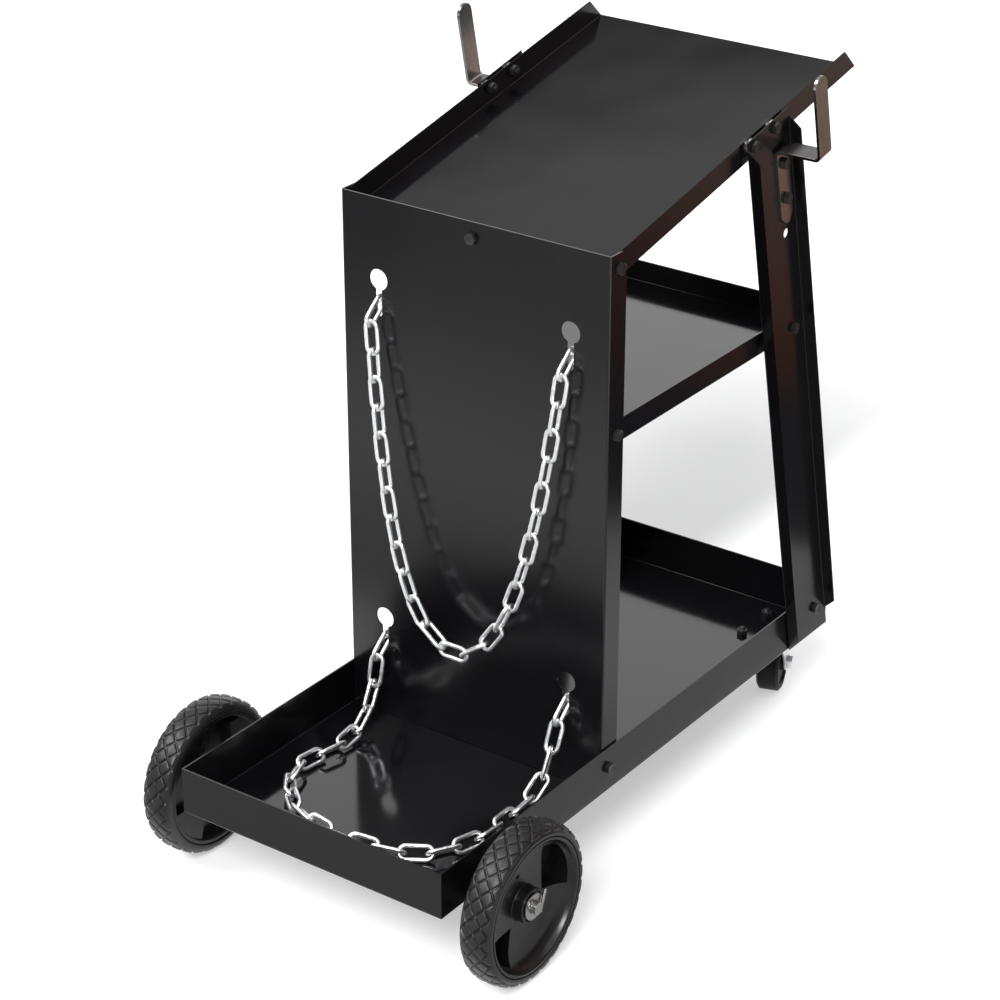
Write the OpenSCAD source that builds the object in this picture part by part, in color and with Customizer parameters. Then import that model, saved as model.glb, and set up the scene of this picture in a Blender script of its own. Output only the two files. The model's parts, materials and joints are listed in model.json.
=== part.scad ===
// Welding cart: a sloped top tray, a middle shelf and a long base tray, carried by a
// channel-shaped back panel and two leaning channel posts. Two fixed wheels stand under the
// cylinder platform, two swivel casters under the far end. Two link chains hang in keyhole
// slots of the panel, and two strap hooks for cables sit on the posts.
// Millimetres. X is the width, +Y runs from the platform to the caster end, +Z is up.

/* [Frame sheet metal] */
// Outer width of the back panel over its side flanges
panel_w = 286; // [276:1:296]
// Height of the panel's top edge above the underside of the base
panel_top = 522; // [517:1:527]
// Width of the panel's side flanges
panel_flange = 24; // [22:1:26]
// Thickness of all sheet parts
sheet_t = 1.5; // [1.3:0.1:1.7]
// Length of the platform in front of the panel
base_front = 244; // [240:1:250]
// Length of the base behind the panel
base_rear = 406; // [404:1:412]
// Height of the base walls
base_wall = 46; // [44:1:48]

/* [Trays] */
// Length of the top tray's floor along its slope
tray_len = 413; // [405:1:420]
// Slope of the top tray, falling towards the panel
tray_tilt = 12; // [11.5:0.1:12.5]
// Height of the side walls of the top tray and of the middle shelf
tray_wall = 22.5; // [21:0.5:24]
// Height of the middle shelf above the underside of the base
shelf_z = 345; // [338:1:350]
// Depth of the middle shelf
shelf_depth = 344; // [340:1:348]

/* [Posts and hooks] */
// Width of a post's web
post_w = 72; // [70:1:74]
// Lean of the posts from the vertical
post_lean = 12.4; // [12.2:0.1:12.6]
// Depth of a post's flanges
post_flange = 13; // [12:0.5:14]
// Width of the cable hook strap
hook_w = 20; // [18:1:22]
// Reach of a cable hook from the post
hook_reach = 49; // [42:1:52]
// Height of a cable hook's upright above its arm
hook_up = 81; // [74:1:88]

/* [Wheels] */
// Radius of the big wheels
wheel_r = 75; // [73:1:77]
// Width of the big wheels
wheel_w = 32.6; // [32:0.2:33.4]
// Diameter of the axle
axle_d = 12; // [11:0.5:13]
// Distance of the axle in front of the panel
axle_back = 174; // [166:1:180]
// Radius of the caster wheels
caster_r = 31; // [29:1:32]
// Offset of the caster wheel's axle from the swivel axis
caster_trail = 30; // [27:1:32]

/* [Chains] */
// Diameter of the chain wire
link_wire = 4; // [3.8:0.1:4]
// Inside length of a chain link
link_pitch = 26.3; // [26.2:0.1:26.5]
// Lean of the hanging upper chain away from the panel
chain_lean = 3.8; // [2:0.1:6]
// Links that hang free in the upper chain, an odd number
upper_links = 25; // [21:2:27]
// Diameter of the round part of a keyhole
key_d = 20; // [19:0.5:22]
// Width of a keyhole's slot
key_slot = 7.2; // [6.4:0.1:8]

/* [Hidden] */
$fn = 64;
t = sheet_t;
bw = panel_w + 2 * t;          // base, outside
bx = bw / 2;                   // outer face of the base walls
sx = panel_w / 2 - t;          // outer face of the shelf and tray walls
px = bx;                       // inner face of the post webs
axle_r = axle_d / 2;
axle_z = -(axle_r + 0.1);      // the axle runs right under the base
base_z = wheel_r - axle_z;     // ground to the underside of the base
axle_y = -axle_back;
cast_x = 108.2;
cast_y = 356;
cast_wz = caster_r - base_z;   // height of the caster wheel's axle
caster_turn = 19;              // the casters stand turned in by this much
yc = ((cast_y + (caster_trail + caster_r) * cos(caster_turn) + 9 * sin(caster_turn)) + (axle_y - wheel_r)) / 2;
base_len = base_front + base_rear;
key_x = 103;
key_zs = [445, 105];
key_drop = 34.8;               // round centre down to the end of the slot
tray_z0 = panel_top - 26;      // underside of the tray floor at the panel
// post frame: u runs up the lean, v across the web
post_y0 = 369;
function py(u, v) = post_y0 - u * sin(post_lean) + v * cos(post_lean);
function pz(u, v) = u * cos(post_lean) + v * sin(post_lean);
function pu(z, v) = (z - v * sin(post_lean)) / cos(post_lean);
post_top = 584;
bolt_v = 16;                   // line of the bolts on the post web
hook_u = 552.5;                // underside of the hook's arm
hook_t = 3;
hook_ri = 3;
hook_bolt_u = [538, 502];
spare_u = 464;
tray_bolt_v = [11, -25];
tray_bolt_u = 576;
// wheel stations along X, right side
wheel_x = 161.9;
hub_in = 146.6;
hub_out = 189.5;
// chain link: wire radius, inner end radius, play between links
cr = link_wire / 2;
ci = 4.25;
cc = ci + cr;
play = 0.25;
link_tilt = 40;                // lean of the link that sits in a slot
e0 = [-cos(link_tilt), -sin(link_tilt)];
m6_hole = 6.6;
bend_i = 0.5;                  // inner radius of the sheet bends
bend_o = bend_i + t;
fit = t + bend_i;              // trays stop here behind the panel, clear of its bends
steel = "#c9ccd0";
black = "#1b1b1d";

// ---------- helpers ----------
module place() { translate([0, -yc, base_z]) children(); }
module both() { children(); mirror([1, 0, 0]) children(); }
module left() { mirror([1, 0, 0]) children(); }
// extrude a (y, z) outline along +X
module yz(h) { rotate([90, 0, 90]) linear_extrude(h) children(); }
// extrude an (x, z) outline along +Y
module xz(h) { translate([0, h, 0]) rotate([90, 0, 0]) linear_extrude(h) children(); }
module hole_x(x0, x1, y, z, d) { translate([x0, y, z]) rotate([0, 90, 0]) cylinder(h = x1 - x0, d = d); }
module hole_y(x, y0, y1, z, d) { translate([x, y0, z]) rotate([-90, 0, 0]) cylinder(h = y1 - y0, d = d); }
module hex(af, h) { cylinder(h = h, d = af / cos(30), $fn = 6); }
module post_frame() { translate([0, post_y0, 0]) rotate([post_lean, 0, 0]) children(); }
module tray_frame() { translate([0, t, tray_z0]) rotate([tray_tilt, 0, 0]) children(); }
// hex bolt along X: head outside, shank inwards
module bolt_x(x, y, z, len) {
    translate([x, y, z]) rotate([0, 90, 0]) {
        hex(10, 4);
        translate([0, 0, -len]) cylinder(h = len + 0.5, d = 5.9);
    }
}
module nut_x(x, y, z) {
    translate([x, y, z]) rotate([0, 90, 0]) difference() {
        hex(10, 5);
        translate([0, 0, -1]) cylinder(h = 7, d = 6.1);
    }
}
// quarter of a strap bend, centred on the bend axis; qx and qz choose the quarter
module bend(ri, th, qx, qz) {
    intersection() {
        difference() { circle(r = ri + th); circle(r = ri); }
        translate([qx > 0 ? 0 : -(ri + th + 1), qz > 0 ? 0 : -(ri + th + 1)]) square(ri + th + 1);
    }
}

// outline from a to b, h high, with its two lower corners rounded
module round_foot(a, b, h, r) {
    translate([a, r]) square([b - a, h - r]);
    translate([a + r, 0]) square([b - a - 2 * r, r + 0.1]);
    for (x = [a + r, b - r]) translate([x, r]) circle(r = r);
}
// folded channel outline: web along the bottom, flanges h high
module channel(hw, h) {
    difference() {
        round_foot(-hw, hw, h, bend_o);
        translate([0, t]) round_foot(-hw + t, hw - t, h, bend_i);
    }
}
// block with rounded lower edges, the outside or the inside of a folded pan
module pan_block(hx, y0, y1, h, r) {
    intersection() {
        translate([0, y0, 0]) xz(y1 - y0) round_foot(-hx, hx, h, r);
        translate([-hx, 0, 0]) yz(2 * hx) round_foot(y0, y1, h, r);
    }
}

// ---------- sheet parts ----------
module base_tray() {
    color(black) place() difference() {
        pan_block(bx, -base_front, base_rear, base_wall, bend_o);
        translate([0, 0, t]) pan_block(bx - t, -base_front + t, base_rear - t, base_wall, bend_i);
        both() {
            hole_x(bx - t - 1, bx + 1, 9, 25, m6_hole);
            hole_x(bx - t - 1, bx + 1, py(pu(28, bolt_v), bolt_v), 28, m6_hole);
            for (dx = [-17, 17], dy = [-24, 24])
                translate([cast_x + dx, cast_y + dy, -1]) cylinder(h = t + 2, d = m6_hole);
        }
    }
}

module keyhole(z) {
    hole_y(key_x, -1, t + 1, z, key_d);
    hole_y(key_x, -1, t + 1, z - key_drop + key_slot / 2, key_slot);
    translate([key_x - key_slot / 2, -1, z - key_drop + key_slot / 2])
        cube([key_slot, t + 2, key_drop - key_slot / 2]);
}

module back_panel() {
    color(black) place() difference() {
        translate([0, 0, fit]) linear_extrude(panel_top - fit) channel(panel_w / 2, panel_flange);
        both() {
            for (z = key_zs) keyhole(z);
            hole_x(sx - 1, bx, 9, 25, m6_hole);
            hole_x(sx - 1, bx, 12.5, shelf_z + 11, m6_hole);
            hole_x(sx - 1, bx, 12.5, tray_z0 + 12.5, m6_hole);
        }
        hole_y(0, -1, t + 1, tray_z0 + 11, m6_hole);
    }
}

module top_tray() {
    color(black) place() difference() {
        union() {
            difference() {
                tray_frame() difference() {
                    translate([0, -12, 0]) xz(12 + tray_len) channel(sx, tray_wall);
                    // slanted far ends of the side walls
                    translate([-sx - 1, 0, 0]) yz(2 * sx + 2) polygon([[tray_len, t], [tray_len + 5, t], [tray_len + 5, tray_wall + 1],
                        [tray_len - 15, tray_wall + 1], [tray_len - 15, tray_wall]]);
                }
                // the panel closes the near end
                translate([-200, fit - 50, tray_z0 - 100]) cube([400, 50, 200]);
            }
            translate([-sx, fit, tray_z0 + 0.5]) cube([2 * sx, t, panel_top - 4 - tray_z0]);
        }
        hole_y(0, 0, fit + t + 1, tray_z0 + 11, m6_hole);
        both() {
            hole_x(sx - t - 1, sx + 1, 12.5, tray_z0 + 12.5, m6_hole);
            for (v = tray_bolt_v)
                hole_x(sx - t - 1, sx + 1, py(tray_bolt_u, v), pz(tray_bolt_u, v), m6_hole);
        }
    }
}

module middle_shelf() {
    color(black) place() difference() {
        translate([0, 0, shelf_z]) difference() {
            pan_block(sx, -50, shelf_depth, tray_wall, bend_o);
            translate([0, 0, t]) pan_block(sx - t, -60, shelf_depth - t, tray_wall, bend_i);
            translate([-200, -70, -1]) cube([400, 70 + fit, 100]);
        }
        both() {
            hole_x(sx - t - 1, sx + 1, 12.5, shelf_z + 11, m6_hole);
            hole_x(sx - t - 1, sx + 1, py(pu(shelf_z + 11, bolt_v), bolt_v), shelf_z + 11, m6_hole);
        }
    }
}

module post_body() {
    hw = post_w / 2;
    difference() {
        post_frame() difference() {
            translate([px, 0, -20]) linear_extrude(20 + post_top) rotate(-90) channel(hw, post_flange);
            // both ends of the flanges are cut off at 45 degrees
            translate([px, -hw - 5, 0]) xz(post_w + 10) {
                polygon([[t, -40], [t, 12], [t + 30, 42], [t + 30, -40]]);
                polygon([[t, post_top + 5], [t, post_top - 8], [t + 30, post_top - 38], [t + 30, post_top + 5]]);
            }
        }
        // level foot
        translate([px - 5, post_y0 - 80, -60]) cube([40, 160, 60]);
        hole_x(px - 1, px + t + 1, py(pu(28, bolt_v), bolt_v), 28, m6_hole);
        hole_x(px - 1, px + t + 1, py(pu(shelf_z + 11, bolt_v), bolt_v), shelf_z + 11, m6_hole);
        for (v = tray_bolt_v)
            hole_x(px - 1, px + t + 1, py(tray_bolt_u, v), pz(tray_bolt_u, v), m6_hole);
        for (u = hook_bolt_u) hole_x(px - 1, px + t + 1, py(u, bolt_v), pz(u, bolt_v), m6_hole);
        hole_x(px - 1, px + t + 1, py(spare_u, bolt_v), pz(spare_u, bolt_v), 9);
    }
}
module left_post() { color(black) place() left() post_body(); }
module right_post() { color(black) place() post_body(); }

// Flat strap: a plate on the post, an arm outwards and a round-topped upright
module hook_body() {
    x0 = px + t;
    hv = hook_w / 2;
    c1x = x0 + hook_t + hook_ri;
    c1u = hook_u - hook_ri;
    c2x = px + hook_reach - hook_t - hook_ri;
    c2u = hook_u + hook_t + hook_ri;
    difference() {
        post_frame() translate([0, bolt_v, 0]) {
            translate([x0, 0, 0]) yz(hook_t) polygon([[-hv, 484], [-hv + 8, 476], [hv - 8, 476], [hv, 484], [hv, c1u], [-hv, c1u]]);
            translate([0, -hv, 0]) xz(hook_w) {
                translate([c1x, c1u]) bend(hook_ri, hook_t, -1, 1);
                translate([c1x, hook_u]) square([c2x - c1x, hook_t]);
                translate([c2x, c2u]) bend(hook_ri, hook_t, 1, -1);
            }
            translate([px + hook_reach - hook_t, 0, 0]) yz(hook_t) union() {
                translate([-hv, c2u]) square([hook_w, hook_u + hook_up - hv - c2u]);
                translate([0, hook_u + hook_up - hv]) circle(r = hv);
            }
        }
        for (u = hook_bolt_u) hole_x(x0 - 1, x0 + hook_t + 1, py(u, bolt_v), pz(u, bolt_v), m6_hole);
    }
}
module left_cable_hook() { color("#a9a7a3") place() left() hook_body(); }
module right_cable_hook() { color("#a9a7a3") place() hook_body(); }

// ---------- wheels ----------
pin_x = 193.3;
pin_a = -40;                   // direction of the cotter pin's legs from +Y
module axle() {
    color(steel) place() difference() {
        translate([-196, axle_y, axle_z]) rotate([0, 90, 0]) cylinder(h = 392, d = axle_d);
        both() translate([pin_x, axle_y, axle_z]) rotate([pin_a - 90, 0, 0]) translate([0, 0, -20]) cylinder(h = 40, d = 3.1);
    }
}
// Formed strap that holds the axle against the underside of the base
module strap_body() {
    ro = axle_r + 0.05;
    translate([117, axle_y, 0]) yz(26) difference() {
        union() {
            translate([0, axle_z]) circle(r = ro + 2.5);
            translate([-(ro + 2.5), axle_z]) square([2 * (ro + 2.5), -axle_z]);
            translate([-24, -2.5]) square([48, 2.5]);
        }
        translate([0, axle_z]) circle(r = ro);
        translate([-ro, axle_z]) square([2 * ro, 1 - axle_z]);
        translate([-30, 0]) square([60, 20]);
    }
}
module left_axle_strap() { color(black) place() left() strap_body(); }
module right_axle_strap() { color(black) place() strap_body(); }

rim_r = wheel_r - 11;          // seat of the tyre
module wheel_at() { translate([wheel_x, axle_y, axle_z]) rotate([0, 90, 0]) children(); }
module tyre_body() {
    r = wheel_r;
    w = wheel_w;
    wheel_at() rotate_extrude() polygon([[rim_r, 0.9], [rim_r + 0.7, 0.25], [r - 7.5, 0], [r - 4.4, 1.1], [r - 3.1, 2.3],
        [r - 1.9, 4.1], [r - 0.8, 6.8], [r - 0.2, 10.3], [r, 12.8], [r, w - 12.8], [r - 0.2, w - 10.3], [r - 0.8, w - 6.8],
        [r - 1.9, w - 4.1], [r - 3.1, w - 2.3], [r - 4.4, w - 1.1], [r - 7.5, w], [rim_r + 0.7, w - 0.25], [rim_r, w - 0.9]]);
}
// outlines of the two pockets in the rim's web, drawn across the wheel's axis
module pocket_outlines(g) {
    polygon([[-45 - g, 24 - g], [1 + g, 27 - g], [10 + 1.2 * g, 64], [-45 - g, 64]]);
    polygon([[16 - g, -19 + g], [16 - g, -64], [62, -64], [62, -30 + g]]);
}
// Moulded hub: bored boss, dished web with two blind pockets, and the barrel under the tyre
module rim_body() {
    a = hub_in - wheel_x;
    b = hub_out - wheel_x;
    w = wheel_w;
    q = rim_r;
    wheel_at() difference() {
        union() {
            rotate_extrude() polygon([[axle_r + 0.06, a], [14, a], [15, 9.5], [q - 7, 12.5], [q - 4.5, 3], [q - 3.4, 1.2], [q - 0.05, 1.2],
                [q - 0.05, w - 1], [q - 0.6, w - 0.35], [q - 2.4, w - 0.35], [q - 3.4, w - 1.2], [q - 4, w - 2.6], [q - 4.9, w - 5],
                [q - 6.4, w - 7.2], [q - 8.6, w - 9.2], [q - 11.5, w - 10.9], [q - 15, w - 12.2], [q - 19, w - 13.1], [q - 24, w - 13.7],
                [30, w - 14.3], [17.4, w - 15],
                [16.6, w - 14], [16.2, b - 0.5], [15.7, b], [14.4, b], [14.2, b - 2.5], [10.5, b - 2.5], [10.3, b], [axle_r + 0.06, b]]);
            intersection() {
                translate([0, 0, 4]) cylinder(h = 9, r = q - 4.1);
                translate([0, 0, 4]) linear_extrude(9) pocket_outlines(3);
            }
        }
        intersection() {
            translate([0, 0, 6.5]) cylinder(h = 40, r = q - 7);
            translate([0, 0, 6.5]) linear_extrude(40) pocket_outlines(0);
        }
        rotate([0, 0, 196.5]) translate([32.4, 0, 2]) cylinder(h = 30, d = 4);
    }
}
module left_tyre() { color("#2a2a2b") place() left() tyre_body(); }
module right_tyre() { color("#2a2a2b") place() tyre_body(); }
module left_rim() { color("#222224") place() left() rim_body(); }
module right_rim() { color("#222224") place() rim_body(); }
module wheel_washers() {
    color(steel) place() both() for (x = [bx + 0.3, hub_out + 0.2]) translate([x, axle_y, axle_z]) rotate([0, 90, 0]) difference() {
        cylinder(h = 1.6, d = 25);
        translate([0, 0, -1]) cylinder(h = 4, d = axle_d + 0.3);
    }
}
// Split pin: round eye, stem through the axle, one leg bent up along the hub and one short leg
module cotter_pins() {
    color(steel) place() both() translate([pin_x, axle_y, axle_z]) rotate([pin_a - 90, 0, 0]) {
        translate([0, 0, -9]) cylinder(h = 17.4, d = 3);
        translate([0, 0, -11.5]) rotate([0, 90, 0]) rotate_extrude() translate([2.6, 0]) circle(r = 1.3);
        translate([0, 0, 8.4]) {
            sphere(d = 3);
            rotate([107, 0, 0]) cylinder(h = 19.1, d = 2.4);
            rotate([-25, 0, 0]) cylinder(h = 3.2, d = 2.4);
        }
    }
}

// ---------- casters ----------
module caster_at() { translate([cast_x, cast_y, 0]) children(); }
module caster_plate_body() {
    caster_at() difference() {
        translate([-26, -33, -2.5]) cube([52, 66, 2.5]);
        for (dx = [-17, 17], dy = [-24, 24]) translate([dx, dy, -4]) cylinder(h = 6, d = m6_hole);
        translate([0, 0, -4]) cylinder(h = 6, d = 10.1);
    }
}
module caster_kingpin_body() {
    caster_at() {
        translate([0, 0, -14.5]) cylinder(h = 3, d = 17);
        translate([0, 0, -12]) cylinder(h = 11.8, d = 10);
    }
}
module caster_bearing_body() {
    caster_at() rotate_extrude() polygon([[5.3, -2.5], [18, -2.5], [19.5, -4], [19.5, -6.3], [18, -7.7], [5.3, -7.7]]);
}
fork_x = 13.2;
module caster_fork_body() {
    y = caster_trail;
    z = cast_wz;
    caster_at() rotate([0, 0, caster_turn]) difference() {
        union() {
            translate([0, 0, -11]) cylinder(h = 3, r = 20);
            translate([-fork_x - 2.5, -14, -11]) cube([2 * fork_x + 5, 36, 3]);
            for (x = [-fork_x - 2.5, fork_x]) translate([x, 0, 0]) yz(2.5) union() {
                polygon([[-14, -8], [22, -8], [y + 9, z + 6], [y + 9, z], [y - 9, z], [y - 16, z + 12]]);
                translate([y, z]) circle(r = 9);
            }
        }
        translate([0, 0, -12]) cylinder(h = 6, d = 10.1);
        hole_x(-20, 20, y, z, 8.1);
    }
}
module caster_axle_body() {
    caster_at() rotate([0, 0, caster_turn]) translate([0, caster_trail, cast_wz]) rotate([0, 90, 0]) {
        translate([0, 0, -21.5]) cylinder(h = 38, d = 8);
        translate([0, 0, fork_x + 2.6]) hex(13, 5);
        translate([0, 0, -fork_x - 2.6 - 5]) difference() {
            hex(13, 5);
            translate([0, 0, -1]) cylinder(h = 7, d = 8.1);
        }
    }
}
module caster_wheel_body() {
    r = caster_r;
    caster_at() rotate([0, 0, caster_turn]) translate([0, caster_trail, cast_wz]) rotate([0, 90, 0]) rotate_extrude()
        polygon([[4.06, -12.9], [9, -12.9], [9.5, -9], [r - 7, -9], [r - 6, -11.5], [r - 3.2, -11.5], [r, -9],
            [r, 9], [r - 3.2, 11.5], [r - 6, 11.5], [r - 7, 9], [9.5, 9], [9, 12.9], [4.06, 12.9]]);
}
module left_caster_plate() { color(steel) place() left() caster_plate_body(); }
module right_caster_plate() { color(steel) place() caster_plate_body(); }
module left_caster_kingpin() { color(steel) place() left() caster_kingpin_body(); }
module right_caster_kingpin() { color(steel) place() caster_kingpin_body(); }
module left_caster_bearing() { color(steel) place() left() caster_bearing_body(); }
module right_caster_bearing() { color(steel) place() caster_bearing_body(); }
module left_caster_fork() { color(steel) place() left() caster_fork_body(); }
module right_caster_fork() { color(steel) place() caster_fork_body(); }
module left_caster_axle() { color(steel) place() left() caster_axle_body(); }
module right_caster_axle() { color(steel) place() caster_axle_body(); }
module left_caster_wheel() { color("#1f1f20") place() left() caster_wheel_body(); }
module right_caster_wheel() { color("#1f1f20") place() caster_wheel_body(); }

// ---------- chains ----------
// One welded link: axis along X, lying in the XY plane
module link() {
    h = link_pitch / 2 - ci;
    for (s = [-1, 1]) translate([-h, s * cc, 0]) rotate([0, 90, 0]) cylinder(h = 2 * h, r = cr, $fn = 32);
    for (a = [0, 180]) rotate([0, 0, a]) translate([h, 0, 0]) rotate([0, 0, -90])
        rotate_extrude(angle = 180) translate([cc, 0]) circle(r = cr, $fn = 32);
}
// (y, z) of the link in a slot, of the stop link's bar behind the panel, and of the first hanging bar
end_qb0 = [t + cr + 0.15, 0];
end_c0 = end_qb0 + (ci - cr - play + link_pitch / 2 - ci) * e0;
function slot_link(kz) = [end_c0[0], kz - 27.6];
function stop_bar(kz) = slot_link(kz) - (link_pitch / 2 - cr - play) * e0;
function hang_bar(kz) = slot_link(kz) + (link_pitch / 2 - ci) * e0 + [0, -(ci - cr - play)];
module end_links(kz) {
    c = slot_link(kz);
    q = stop_bar(kz);
    both() {
        translate([key_x, c[0], c[1]]) rotate([link_tilt, 0, 0]) rotate([0, 0, 90]) rotate([90, 0, 0]) link();
        translate([key_x, q[0], q[1] - link_pitch / 2 - cr]) rotate([0, 90, 0]) rotate([90, 0, 0]) link();
    }
}
module upper_chain_end_links() { color(steel) place() end_links(key_zs[0]); }
module lower_chain_end_links() { color(steel) place() end_links(key_zs[1]); }

// Upper chain: a hanging chain of equal weights, whose slope grows by equal steps from link to link
un = upper_links;
um = (un - 1) / 2;
la = link_pitch - 2 * ci;                                  // flat links, between bend centres
lb = link_pitch + 2 * cr + 2 * (ci - cr - play);           // edge-on links, between bend centres
le = la + ci + cr;                                         // first and last link, from the bar
function ulen(i) = (i == 0 || i == un - 1) ? le : (i % 2 == 1 ? lb : la);
function uang(k, i) = atan(k * (i - um));
function uspan(k, i = 0) = i == un ? 0 : ulen(i) * cos(uang(k, i)) + uspan(k, i + 1);
function usolve(lo, hi, n) = n == 0 ? (lo + hi) / 2
    : uspan((lo + hi) / 2) > 2 * key_x ? usolve((lo + hi) / 2, hi, n - 1) : usolve(lo, (lo + hi) / 2, n - 1);
uk = usolve(0.01, 8, 40);
function upoint(i) = i == 0 ? [-key_x, hang_bar(key_zs[0])[1]]
    : upoint(i - 1) + ulen(i - 1) * [cos(uang(uk, i - 1)), sin(uang(uk, i - 1))];
module upper_chain() {
    q = hang_bar(key_zs[0]);
    color(steel) place() for (i = [0 : un - 1]) {
        a = uang(uk, i);
        d = [cos(a), sin(a)];
        p0 = upoint(i);
        p1 = p0 + ulen(i) * d;
        c = i == 0 ? p0 + (link_pitch / 2 + cr) * d : i == un - 1 ? p1 - (link_pitch / 2 + cr) * d : (p0 + p1) / 2;
        translate([0, q[0], q[1]]) rotate([-chain_lean, 0, 0]) translate([c[0], 0, c[1] - q[1]]) rotate([0, -a, 0]) rotate([i % 2 == 0 ? 90 : 0, 0, 0]) link();
    }
}

// Lower chain: hangs from its slots and lies in a loop on the platform floor
ln = 23;
lz = t + 6.9;                  // height of the lying chain's centre line
lq = hang_bar(key_zs[1]);
route = [[-103, lq[0], lq[1]], [-103, -15, 55], [-102, -20, 41], [-100.5, -28, 28], [-98, -42, 17], [-95.5, -58, 10.6],
    [-94.5, -74, 9], [-95.5, -92, lz], [-101, -110, lz], [-103, -128, lz], [-97, -148, lz], [-83, -169, lz], [-62, -187, lz],
    [-36, -197, lz], [-8, -201.5, lz], [22, -200, lz], [52, -194, lz], [76, -184, lz], [91, -166, lz], [100, -145, lz],
    [104.5, -124, lz], [105, -106, lz], [104.5, -88, lz], [104.5, -72, 9], [104.5, -57, 11.2], [104.5, -44, 16.6],
    [104.5, -33.5, 26], [104, -26.5, 38], [103.5, -20.5, 52], [103, lq[0], lq[1]]];
rn = len(route);
function rp(i) = i < 0 ? 2 * route[0] - route[1] : i >= rn ? 2 * route[rn - 1] - route[rn - 2] : route[i];
function curve(i, u) = 0.5 * (2 * rp(i) + (rp(i + 1) - rp(i - 1)) * u
    + (2 * rp(i - 1) - 5 * rp(i) + 4 * rp(i + 1) - rp(i + 2)) * u * u
    + (3 * rp(i) - rp(i - 1) - 3 * rp(i + 1) + rp(i + 2)) * u * u * u);
nd = 16;
fine = [for (i = [0 : rn - 2], k = [0 : nd - 1]) curve(i, k / nd), route[rn - 1]];
nf = len(fine);
// first fine point at least d away, then the exact place on that stretch
function seek(c, d, i) = i + 1 >= nf ? -1 : norm(fine[i + 1] - c) >= d ? i : seek(c, d, i + 1);
function cut(a, b, c, d, lo, hi, n) = n == 0 ? a + (b - a) * hi
    : norm(a + (b - a) * (lo + hi) / 2 - c) < d ? cut(a, b, c, d, (lo + hi) / 2, hi, n - 1) : cut(a, b, c, d, lo, (lo + hi) / 2, n - 1);
function walk(c, i, d, n, out) = n == 0 ? out
    : let (j = seek(c, d, i)) j < 0 ? concat(out, [undef])
    : let (q = cut(fine[j], fine[j + 1], c, d, 0, 1, 30)) walk(q, j, d, n - 1, concat(out, [q]));
function chain_points(s) = let (o = cr + (link_pitch - s) / 2, j = seek(fine[0], o, 0),
    q = cut(fine[j], fine[j + 1], fine[0], o, 0, 1, 30)) walk(q, j, s, ln, [q]);
function too_long(s) = let (v = chain_points(s)) len(v) < ln + 1 || v[len(v) - 1] == undef
    || norm(fine[nf - 1] - v[ln]) < cr + (link_pitch - s) / 2;
function lsolve(lo, hi, n) = n == 0 ? lo : too_long((lo + hi) / 2) ? lsolve(lo, (lo + hi) / 2, n - 1) : lsolve((lo + hi) / 2, hi, n - 1);
function unit(v) = v / norm(v);
module lower_chain() {
    v = chain_points(lsolve(20, 32, 32));
    color(steel) place() for (i = [0 : ln - 1]) {
        c = (v[i] + v[i + 1]) / 2;
        a = unit(v[i + 1] - v[i]);
        r = unit([-a[1], a[0], 0]);
        n = cross(a, r);
        // on the floor the links lean 45 degrees each way, at the slots they hang square
        w = (i % 2) * 90 + min(i, 3, ln - 1 - i) * 15;
        d = cos(w) * r + sin(w) * n;
        e = cross(a, d);
        multmatrix([[a[0], d[0], e[0], c[0]], [a[1], d[1], e[1], c[1]], [a[2], d[2], e[2], c[2]], [0, 0, 0, 1]]) link();
    }
}

// ---------- fasteners ----------
module panel_bolts() {
    color(black) place() {
        both() {
            bolt_x(bx, 9, 25, 10.5);
            bolt_x(panel_w / 2, 12.5, shelf_z + 11, 10.5);
            bolt_x(panel_w / 2, 12.5, tray_z0 + 12.5, 10.5);
        }
        translate([0, 0, tray_z0 + 11]) rotate([90, 0, 0]) {
            hex(10, 4);
            translate([0, 0, -10.5]) cylinder(h = 11, d = 5.9);
        }
    }
}
module panel_nuts() {
    color(black) place() {
        both() {
            nut_x(sx - 5, 9, 25);
            nut_x(sx - t - 5, 12.5, shelf_z + 11);
            nut_x(sx - t - 5, 12.5, tray_z0 + 12.5);
        }
        translate([0, fit + t, tray_z0 + 11]) rotate([-90, 0, 0]) difference() {
            hex(10, 5);
            translate([0, 0, -1]) cylinder(h = 7, d = 6.1);
        }
    }
}
module post_bolts() {
    color(black) place() both() {
        bolt_x(px + t, py(pu(28, bolt_v), bolt_v), 28, 10.5);
        bolt_x(px + t, py(pu(shelf_z + 11, bolt_v), bolt_v), shelf_z + 11, 13.5);
        for (v = tray_bolt_v) bolt_x(px + t, py(tray_bolt_u, v), pz(tray_bolt_u, v), 13.5);
    }
}
module post_nuts() {
    color(black) place() both() {
        nut_x(bx - t - 5, py(pu(28, bolt_v), bolt_v), 28);
        nut_x(sx - t - 5, py(pu(shelf_z + 11, bolt_v), bolt_v), shelf_z + 11);
        for (v = tray_bolt_v) nut_x(sx - t - 5, py(tray_bolt_u, v), pz(tray_bolt_u, v));
    }
}
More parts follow.
